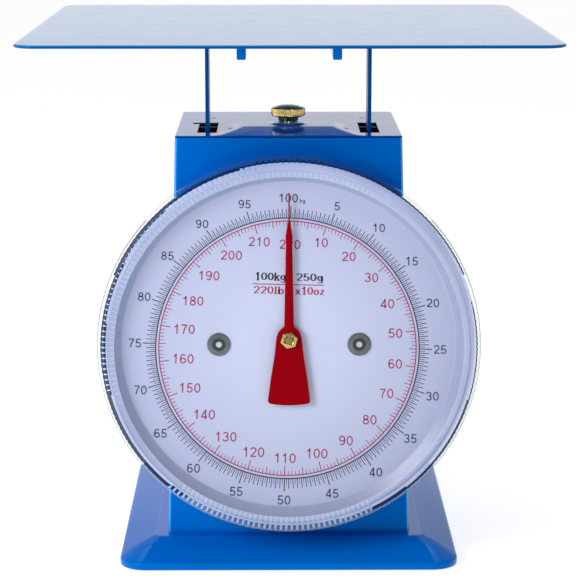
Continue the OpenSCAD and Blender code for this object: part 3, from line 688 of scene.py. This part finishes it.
# Levels of the tray as (inset, height, corner radius): up the rim, up the slope, over the ledge, back underneath
outside = [
    (1.0, 0.8, 17), (0.45, 0.6, 17.5), (0.1, 0.8, 17.9), (0, 1.2, 18), (0, 4.0, 18), (0.15, 4.7, 17.9),
    (0.6, 5.4, 17.6), (1.4, 6.0, 17.2),
]
slope = [
    (1.4 + 20.9 * t, 6.0 + 10.35 * t + 0.9 * math.sin(math.pi * t), 17.2 - 12.2 * t)
    for t in [k / 8 for k in range(1, 9)]
]
ledge = [(22.9, 16.62, 4.8), (23.5, 16.83, 4.5), (24.2, 16.95, 4.0), (25.2, 17.0, 3.4), (30, 17.0, 2.6)]
under = [
    (30, 15.8, 2.6), (25.4, 15.8, 3.0), (24.0, 15.4, 4.2), (22.9, 14.9, 4.6), (2.4, 4.9, 16.4), (1.4, 3.9, 16.9),
    (1.2, 2.1, 17), (1.1, 1.2, 17),
]
bm = bmesh.new()
loft(bm, [tray_loop(*p) for p in outside + slope + ledge], ends=False)
loft(bm, [tray_loop(*p) for p in under + [outside[0]]], ends=False)
for loop in (tray_loop(*ledge[-1]), tray_loop(*under[0])):
    bm.faces.new([bm.verts.new(mm(p)) for p in loop])
tray = piece("base_tray", bm, "root", BLUE, ["base_plate"], angle=28)
feet = [(x, y) for x in (-74, 74) for y in (-26, 112)]
fixings = [(x, y) for x in (-72.8, 72.8) for y in (-8, 88)]
drill(tray, [((x, y, 10), (x, y, 22), 2) for x, y in feet + fixings])

bm = bmesh.new()
foot = [(4.5, 0, 0.3), (8.2, 0, 0.8), (9, 2.5, 0.5), (8.6, 15.8, 0.3), (2, 15.8, 0), (2, 3, 0), (4.5, 3, 0)]
for x, y in feet:
    lathe(bm, [(p.x, p.y) for p in rounded(foot, 4)], (x, y, 0), turns=48)
piece("rubber_foot_set", bm, "root", RUBBER, ["rubber_feet"])

bm = bmesh.new()
for x, y in feet:
    screw_head(bm, (x, y, 3), (0, 0, -1), 4, 1.8, 0.8, shank=18, shank_r=1.95)
piece("foot_screw_set", bm, "root", ZINC, ["foot_screws"])

# ---- dial housing, face and clear cover ----


bm = bmesh.new()
drum = [
    (0, FRONT_Y, 0), (121.2, FRONT_Y, 6), (121.2, -74, 0.7), (118.9, -74, 0.7), (118.9, -72, 0.5),
    (120, -71.4, 0.5), (120, FRONT_Y - SHEET, 4.8), (0, FRONT_Y - SHEET, 0),
]
lathe(bm, [(p.x, p.y) for p in rounded(drum, 6)], CENTRE, "Y", 240, closed=False)
housing = piece("dial_drum", bm, "root", BLUE, ["dial_housing"], angle=40)
drill(housing, dial_holes(-45, -30, 6, 2.3))

bm = bmesh.new()
front = [(0, DIAL_Y, 0), (109.4, DIAL_Y, 3.0), (116.2, -76.0, 1.8), (118.6, -76.4, 0.7), (118.6, -73.6, 0)]
back = [(116.0, -74.6), (109.8, DIAL_Y + 1), (0, DIAL_Y + 1)]
lathe(bm, [(p.x, p.y) for p in rounded(front, 6, False)] + back, CENTRE, "Y", 240, closed=False)
face = piece("dial_plate", bm, "root", WHITE_PAINTED_RIM_SHADE, ["dial_face"], angle=30)
face.data.materials.append(DIAL_WALL_PAINTED_SHADE)
drill(face, dial_holes(-75, -60, 4, 2.1))

# The rising wall of the dish takes the painted shade.
for f in face.data.polygons:
    if f.center.y < -0.0708:
        f.material_index = 1

# ---- clear cover ----

RIBS = 210


def rib_height(r, a):
    """Height of the cover's ribs at a radius in mm and an angle."""
    return 0.14 * math.cos(RIBS * a) * min(max(r - 119.6, 0) / 3.0, 1)


def ribbed(r, h, a):
    """Fine ribs round the outside corner and wall of the clear cover."""
    if (r < 122 and h > -78.9) or -77 < h < -73:
        return r
    return r + rib_height(r, a)


bm = bmesh.new()
lens = [(0, -80.5), (60, -80.5), (113.8, -80.5), (117.5, -80.5), (118.6, -80.45), (119.4, -80.35)]
corner = [(120.3, -80.15), (121.2, -79.9), (122.1, -79.5), (123.0, -79.0), (124.0, -78.2), (124.8, -77.2)]
wall = [(125.4, -75.8), (125.6, -74), (125.6, -68), (125.6, -64), (125.5, -63.2), (125.2, -63.0)]
inside = [
    (121.5, -63.0), (121.3, -63.2), (121.3, -74), (121.1, -76.2), (120.2, -77.8), (118.6, -78.7), (116.5, -78.9),
    (60, -78.9), (0, -78.9),
]
lathe(bm, lens + corner + wall + inside, CENTRE, "Y", RIBS * 5, ribbed, closed=False)
cover = piece("clear_dial_cover", bm, "root", CLEAR, ["dial_cover"], angle=60)
for extra in (CLEAR_RIM, CLEAR_RIB_PAINTED_HIGHLIGHT, CLEAR_EDGE_PAINTED_SHADE, CLEAR_DRUM_PAINTED_SHADE, CLEAR_DIAL_PAINTED_REFRACTION, CLEAR_LIP_PAINTED_REFRACTION):
    cover.data.materials.append(extra)
LENS, RIM, RIB, EDGE, OVER_DRUM, OVER_DIAL, OVER_LIP = range(7)


def cover_zone(f):
    """Painted refraction on the ribs, what shows through them: dial rim, then drum lip, then the dark drum as
    painted shade, then nothing; light crests are painted highlights.
    """
    x, y, z = f.center.x / MM, f.center.y / MM, f.center.z / MM - DIAL_Z
    angle, r = math.atan2(z, x), math.hypot(x, z)
    r -= rib_height(r, angle)
    if r < 113.8 or y > -74 or f.normal.dot((x, -20, z)) < 0:
        return LENS
    top = max(0, z / r)
    drum_in, drum_out = 120.6 + 1.2 * top + 1.1 * (x + z) / r, 122.9 + 1.5 * top
    wave = math.cos(RIBS * angle)
    low = z < -60
    plain = -92 < z < -30 if x < 0 else x > 55
    # Light crests: painted highlights, left out on some sides of the cover.
    light = not plain and (wave > 0.5 if low else wave < -0.9)
    if r > drum_out:
        return LENS if z > 85 else EDGE if r > 124.9 else RIM
    if light and (r < 117.6 or low or (x < -20 and r < 122.5)):
        return RIB
    if r > drum_in + plain * (1.2 if x < 0 else 0.3):
        return EDGE if z < -100 and not plain else OVER_DRUM
    return OVER_DIAL if r < 118.6 else OVER_LIP


for f in cover.data.polygons:
    f.material_index = cover_zone(f)

# ---- dial washers and screws ----

WASHER_Y = -71.3
bm = bmesh.new()
ring = [(2.1, -70.52, 0), (7.7, -70.52, 0.1), (7.7, WASHER_Y, 0.25), (4.4, WASHER_Y, 0), (2.1, WASHER_Y, 0)]
for x in SCREW_X:
    lathe(bm, [(p.x, p.y) for p in rounded(ring, 3)], (x, 0, SCREW_Z), "Y", 64)
washers = piece("dial_washer_set", bm, "root", WASHER, ["dial_washers"])
# Washer faces close round the screw head take the painted shade.
washers.data.materials.append(WASHER_PAINTED_SHADE)
for f in washers.data.polygons:
    if math.hypot(abs(f.center.x) - SCREW_X[1] * MM, f.center.z - SCREW_Z * MM) < 0.0038:
        f.material_index = 1

bm = bmesh.new()
for x in SCREW_X:
    screw_head(bm, (x, WASHER_Y, SCREW_Z), (0, -1, 0), 2.8, 2, 0.8, shank=37, shank_r=1.95)
piece("dial_screw_set", bm, "root", ZINC, ["dial_screws"])

# ---- printed scale: thin ink on the dial ----

PRINT_Y = (DIAL_Y, DIAL_Y - 0.06)
TILT = math.radians(1.35)
PRINT_X, PRINT_Z, PRINT_WIDE, PRINT_TALL = -1.0, DIAL_Z - 2.4, 1.009, 1.027
KEYSTONE = 0.03
KG_LINE_R, LB_LINE_R = 85.6, 83.6


def on_dial(x, z, h):
    """The print as laid on the plate: turned, set low, and drawn closer together at its top."""
    near = 1 + KEYSTONE * z / KG_LINE_R
    x, z = x / near, (z + KEYSTONE * KG_LINE_R) / near
    u = x * math.cos(TILT) + z * math.sin(TILT)
    v = z * math.cos(TILT) - x * math.sin(TILT)
    return (PRINT_X + PRINT_WIDE * u, h, PRINT_Z + PRINT_TALL * v)


def tick(bm, angle, r0, r1, width):
    """A mark along a radius, at a clockwise angle from the top."""
    d = Vector((math.sin(angle), math.cos(angle)))
    n = Vector((d.y, -d.x)) * width / 2
    prism(bm, [tuple(p) for p in (d * r0 - n, d * r1 - n, d * r1 + n, d * r0 + n)], *PRINT_Y, on_dial)


def stroke(bm, points, wide, tall, closed=False):
    """Thin band of ink along a line, drawn with an oval nib wide by tall."""
    rings = []
    n = len(points)
    for i, p in enumerate(points):
        a = points[i - 1] if i or closed else p
        b = points[(i + 1) % n] if i < n - 1 or closed else p
        dx, dz = b[0] - a[0], b[1] - a[1]
        size = math.hypot(dx, dz) or 1
        nx, nz = -dz / size, dx / size
        reach = math.hypot(wide * nx, tall * nz)
        ox, oz = wide * wide * nx / reach / 2, tall * tall * nz / reach / 2
        left, right = (p[0] - ox, p[1] - oz), (p[0] + ox, p[1] + oz)
        under, over = PRINT_Y
        rings.append([on_dial(*q, y) for q, y in ((left, under), (right, under), (right, over), (left, over))])
    loft(bm, rings + [rings[0]] if closed else rings, ends=not closed)


def arc(cx, cz, rx, rz, start=0, end=360, steps=16):
    """Points on an oval, from one angle to another in degrees; a whole turn leaves out its last point."""
    count = steps if end - start == 360 else steps + 1
    turns = [math.radians(start + (end - start) * k / steps) for k in range(count)]
    return [(cx + rx * math.cos(a), cz + rz * math.sin(a)) for a in turns]


# Each figure: its advance, then its strokes, in heights of a figure
SIX = [arc(0.4, 0.5, 0.265, 0.435, 48, 205), arc(0.395, 0.31, 0.255, 0.245)]
GLYPHS = {
    "0": (0.775, [arc(0.39, 0.5, 0.26, 0.435)]),
    "1": (0.775, [[(0.17, 0.72), (0.3, 0.765), (0.38, 0.84), (0.42, 0.97)], [(0.44, 1), (0.44, 0)]]),
    "2": (
        0.775,
        [arc(0.385, 0.7, 0.255, 0.235, 175, -28) + [(0.34, 0.29), (0.16, 0.09)], [(0.1, 0.07), (0.67, 0.07)]],
    ),
    "3": (0.775, [arc(0.38, 0.715, 0.225, 0.22, 165, -90), arc(0.375, 0.285, 0.26, 0.22, 90, -165)]),
    "4": (0.775, [[(0.53, 0), (0.53, 1)], [(0.52, 0.93), (0.13, 0.27)], [(0.09, 0.24), (0.7, 0.24)]]),
    "5": (
        0.775,
        [[(0.64, 0.93), (0.19, 0.93)], [(0.23, 0.95), (0.165, 0.46)], arc(0.375, 0.315, 0.265, 0.25, 145, -160)],
    ),
    "6": (0.775, SIX),
    "7": (0.775, [[(0.1, 0.93), (0.68, 0.93)], [(0.65, 0.9), (0.47, 0.6), (0.37, 0.3), (0.33, 0)]]),
    "8": (0.775, [arc(0.39, 0.735, 0.215, 0.2), arc(0.39, 0.29, 0.26, 0.225)]),
    "9": (0.775, [[(0.78 - x, 1 - z) for x, z in line] for line in SIX]),
    "k": (0.7, [[(0.16, 0), (0.16, 1)], [(0.6, 0.68), (0.18, 0.3)], [(0.32, 0.42), (0.62, 0)]]),
    "g": (0.76, [arc(0.36, 0.38, 0.21, 0.27), [(0.6, 0.68), (0.6, 0.02)] + arc(0.38, 0, 0.22, 0.2, 0, -150, 8)]),
    "l": (0.4, [[(0.2, 0), (0.2, 1)]]),
    "b": (0.76, [[(0.16, 0), (0.16, 1)], arc(0.4, 0.34, 0.22, 0.31)]),
    "o": (0.74, [arc(0.37, 0.34, 0.24, 0.31)]),
    "z": (0.68, [[(0.12, 0.63), (0.56, 0.63)], [(0.54, 0.62), (0.14, 0.05)], [(0.1, 0.05), (0.6, 0.05)]]),
    "x": (0.7, [[(0.1, 0), (0.58, 0.62)], [(0.12, 0.62), (0.6, 0)]]),
}
SERIFS = {"1": [(0.44, 0)], "k": [(0.16, 0), (0.6, 0)], "l": [(0.2, 0)]}


def lettering(bm, text, x, z, height, wide=0.13, tall=0.13, spread=1.0, serifs=False):
    """Figures centred on x and z, drawn stroke by stroke."""
    x -= sum(GLYPHS[c][0] for c in text) * height * spread / 2
    z -= height / 2
    for c in text:
        advance, lines = GLYPHS[c]
        if serifs:
            lines = lines + [[(a - 0.2, b + 0.03), (a + 0.2, b + 0.03)] for a, b in SERIFS.get(c, [])]
        for line in lines:
            points = [(x + u * height * spread, z + v * height) for u, v in line]
            stroke(bm, points, wide * height, tall * height, closed=len(line) == 16)
        x += advance * height * spread


black, red = bmesh.new(), bmesh.new()
stroke(black, arc(0, 0, KG_LINE_R, KG_LINE_R, steps=360), 0.75, 0.75, True)
stroke(red, arc(0, 0, LB_LINE_R, LB_LINE_R, steps=360), 0.7, 0.7, True)
for k in range(400):
    r1, width = (93.9, 0.65) if k % 20 == 0 else (91.9, 0.5) if k % 2 == 0 else (89.4, 0.36)
    tick(black, math.tau * k / 400, KG_LINE_R, r1, width)
for k in range(220):
    r0, width = (77.4, 0.6) if k % 10 == 0 else (79.1, 0.5) if k % 5 == 0 else (80.7, 0.42)
    tick(red, math.tau * k / 220, r0, LB_LINE_R, width)
for k in range(1, 21):
    a = math.tau * k / 20
    room_for_unit = 1.9 if k == 20 else 0
    lettering(black, str(5 * k), 99.2 * math.sin(a) - room_for_unit, 99.2 * math.cos(a), 5.8)
lettering(black, "kg", 7.6, 97.5, 2.7, 0.16, 0.16)
for k in range(1, 23):
    a = math.tau * k / 22
    figures = str(10 * k)
    r = 67.8 if k == 22 else 75.7 - math.hypot(2.5 * len(figures) * math.sin(a), 3.1 * math.cos(a))
    lettering(red, figures, r * math.sin(a), r * math.cos(a), 6.3)
lettering(black, "100kg", -12.4, 46.0, 5.4, 0.23, 0.08, 1.03, True)
lettering(black, "250g", 13.5, 46.0, 5.4, 0.23, 0.08, 1.08, True)
lettering(red, "220lb", -13.2, 36.9, 5.2, 0.22, 0.08, 1.12, True)
lettering(red, "x10oz", 13.8, 36.9, 5.2, 0.22, 0.08, 1.02, True)
prism(red, [(-23.9, 40.5), (22.9, 40.5), (22.9, 41.1), (-23.9, 41.1)], *PRINT_Y, on_dial)
piece("dial_print_black", black, "root", INK_BLACK, merge=False)
piece("dial_print_red", red, "root", INK_RED, merge=False)

# ---- pointer ----

# Right half of the outline as (x, height above the hub, rise of the fold), tip to tail
RIGHT = [
    (0.4, 97, 0.1), (0.5, 79, 0.15), (1.1, 76, 0.3), (2.3, 68.5, 0.75), (2.05, 64, 0.7), (2.5, 42, 0.85),
    (3.15, 9, 0.9), (4.1, 7.9, 0.9), (5.6, 6.7, 0.85), (6.9, 5.1, 0.8), (7.9, 2.8, 0.75), (8.4, 0, 0.7),
    (9.5, -10.6, 0.55), (12.0, -26.4, 0.4), (13.75, -40.2, 0.3), (13.9, -41.2, 0.3), (13.7, -42.2, 0.3),
    (12.9, -43.0, 0.3), (10.5, -43.6, 0.3), (7, -44.0, 0.3), (3.5, -44.25, 0.3), (0, -44.3, 0.3),
]
POINTER_Y = -73.8
bm = bmesh.new()


def pointer_skin(lift, folded):
    """One face of the pointer, folded along its middle; returns its outline."""
    mid, left, right = [], [], []
    for x, z, rise in RIGHT:
        mid.append(bm.verts.new(mm((0, POINTER_Y - lift - rise * folded, HUB_Z + z))))
        right.append(bm.verts.new(mm((max(x, 0.02), POINTER_Y - lift, HUB_Z + z))))
        left.append(bm.verts.new(mm((-max(x, 0.02), POINTER_Y - lift, HUB_Z + z))))
    for side in (left, right):
        for k in range(len(mid) - 1):
            bm.faces.new((mid[k], mid[k + 1], side[k + 1], side[k]))
    return left + right[::-1]


skin(bm, pointer_skin(0.8, 1), pointer_skin(0.0, 0.9))
needle = piece("pointer_blade", bm, "pointer_train", RED, ["pointer"], angle=12)
drill(needle, [((0, -79, HUB_Z), (0, -70, HUB_Z), 2.5)])

bm = bmesh.new()
hexagon = arc(0, 0, 5.8, 5.8, 14, 314, 5)
prism(bm, hexagon, -74.9, -77.4, lambda x, z, h: (x, h, HUB_Z + z), 0.5, 3)
nut = piece("pointer_hex_nut", bm, "pointer_train", BRASS, ["pointer_nut"])
drill(nut, [((0, -79, HUB_Z), (0, -70, HUB_Z), 2.55)])

# ---- zero knob ----

KNURLS = 48


def knurled(r, h, a):
    """Knurls round the knob's grip and twelve shallow flutes round its neck."""
    if 9.5 < r and 6.0 <= h <= 10.6:
        return r + 0.32 * math.cos(KNURLS * a) * min(1, (10.8 - h) / 0.5, (h - 5.9) / 0.4)
    if 4.4 < r < 7.2 and 0.6 < h < 4.2:
        return r * (1 - 0.09 * max(0, math.cos(12 * a)))
    return r


bm = bmesh.new()
neck = [(0, 0.2), (4.6, 0.2), (4.9, 0.5), (4.9, 1.9), (5.2, 2.2), (6.6, 2.4), (6.8, 2.7), (6.8, 4.2), (7.1, 4.6)]
grip = [
    (9.0, 4.9), (10.6, 5.5), (11.1, 5.9), (11.1, 6.0), (11.1, 6.6), (11.1, 8.4), (11.1, 10.1), (11.1, 10.6),
    (10.9, 10.9), (10.4, 11.15),
]
crown = [(9.0, 11.6), (6.8, 12.3), (4.2, 12.75), (2.0, 12.95), (0, 13)]
lathe(bm, neck + grip + crown, (0, 0, 293.3), turns=KNURLS * 8, radius=knurled, closed=False)
piece("zero_knob_turned", bm, "knob", BRASS, ["zero_knob"], angle=40)

# ---- springs ----


COIL_R, WIRE_R, COILS, STEPS = 10.25, 2.15, 24, 24
COILS_Z = (134.75, 247.25)
TOP_COIL = 21


def spring(name, node, x):
    """A coiled spring with hooked ends, drawn as two pieces: its coils and its top end."""
    z0, z1 = COILS_Z
    hook = [math.radians(200 * k / 12) for k in range(13)]
    path = [(0, -COIL_R * math.cos(a - hook[-1]), z0 - 3 + COIL_R * math.sin(a - hook[-1])) for a in hook]
    n = COILS * STEPS
    for k in range(1, n):
        a = math.tau * k / STEPS - math.pi / 2
        path.append((COIL_R * math.cos(a), COIL_R * math.sin(a), z0 + (z1 - z0) * k / n))
    path += [(0, -COIL_R * math.cos(a), z1 + 3 + COIL_R * math.sin(a)) for a in hook]
    pts = [Vector(p) + Vector((x, 0, 0)) for p in path]
    rings, side = [], Vector((1, 0, 0))
    for i, p in enumerate(pts):
        t = (pts[min(i + 1, len(pts) - 1)] - pts[max(i - 1, 0)]).normalized()
        side = (side - t * side.dot(t)).normalized()
        other = t.cross(side)
        around = [math.tau * j / 10 for j in range(10)]
        rings.append([p + (side * math.cos(b) + other * math.sin(b)) * WIRE_R for b in around])
    cut = len(hook) + TOP_COIL * STEPS
    parts = [
        (name, rings[: cut + 1], [node], "load_frame", 0.12),
        (name + "_top", rings[cut:], [], "hanger", 0.248),
    ]
    for part, section, stands_for, body, far in parts:
        bm = bmesh.new()
        loft(bm, section)
        ob = piece(part, bm, None, WIRE, stands_for, angle=60)
        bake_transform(ob)


spring("main_spring_left", "left_spring", -25)
spring("main_spring_right", "right_spring", 25)

# ---- CAD pieces that stay: edges softened and finished ----

finishes = {
    ZINC: (
        "foot_brackets", "body_screws", "front_plate", "bearing_bracket", "bracket_screws", "dial_spacers",
        "guide_column", "column_screws", "column_pins", "stop_post", "adjust_screw", "spring_hanger", "load_bar",
        "yoke_rivets", "guide_pins", "rack_screws", "upper_stay", "lower_stay",
    ),
    YOKE_PAINT_AND_EDGE_SHADE: ("left_post", "right_post", "yoke_bar"),
    BRASS: ("rack", "pinion", "pointer_hub"),
    BRONZE: ("shaft_bushes",),
    # The bridge under the top slots is near-black: painted shade.
    BRIDGE_PAINTED_SHADE: ("top_bridge",),
    RUBBER: ("stop_buffer",),
    OLIVE: ("pointer_shaft",),
}
softened = {
    "left_post": 0.5, "right_post": 0.5, "yoke_bar": 0.5, "top_bridge": 0.3, "guide_column": 0.3, "load_bar": 0.4,
    "spring_hanger": 0.4, "front_plate": 0.3,
}
for finish, name in [(finish, name) for finish, names in finishes.items() for name in names]:
    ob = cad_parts[name]
    for s in ob.material_slots:
        s.material = finish
    if not ob.material_slots:
        ob.data.materials.append(finish)
    if name in softened:
        weld = ob.modifiers.new("weld", "WELD")
        weld.merge_threshold = 1e-5
        bev = ob.modifiers.new("soft_edges", "BEVEL")
        bev.width = softened[name] * MM
        bev.segments = 2
        bev.limit_method = "ANGLE"
        bev.angle_limit = math.radians(40)

# ---- floor ----

floor_shader = Shader("floor_white", Emission_Color=(1, 1, 1, 1), Emission_Strength=0.7)
floor_shader.colours(floor_shader.noise(3, 2), (0.3, (0.5, 0.5, 0.5)), (0.7, (0.52, 0.52, 0.52)))
floor_shader.roughness(floor_shader.spread(floor_shader.noise(40, 3), 0.85, 0.95))
bm = bmesh.new()
bmesh.ops.create_grid(bm, x_segments=8, y_segments=8, size=12)
mesh = bpy.data.meshes.new("floor")
bm.to_mesh(mesh)
bm.free()
mesh.materials.append(floor_shader.mat)
floor = bpy.data.objects.new("floor", mesh)
scene.collection.objects.link(floor)
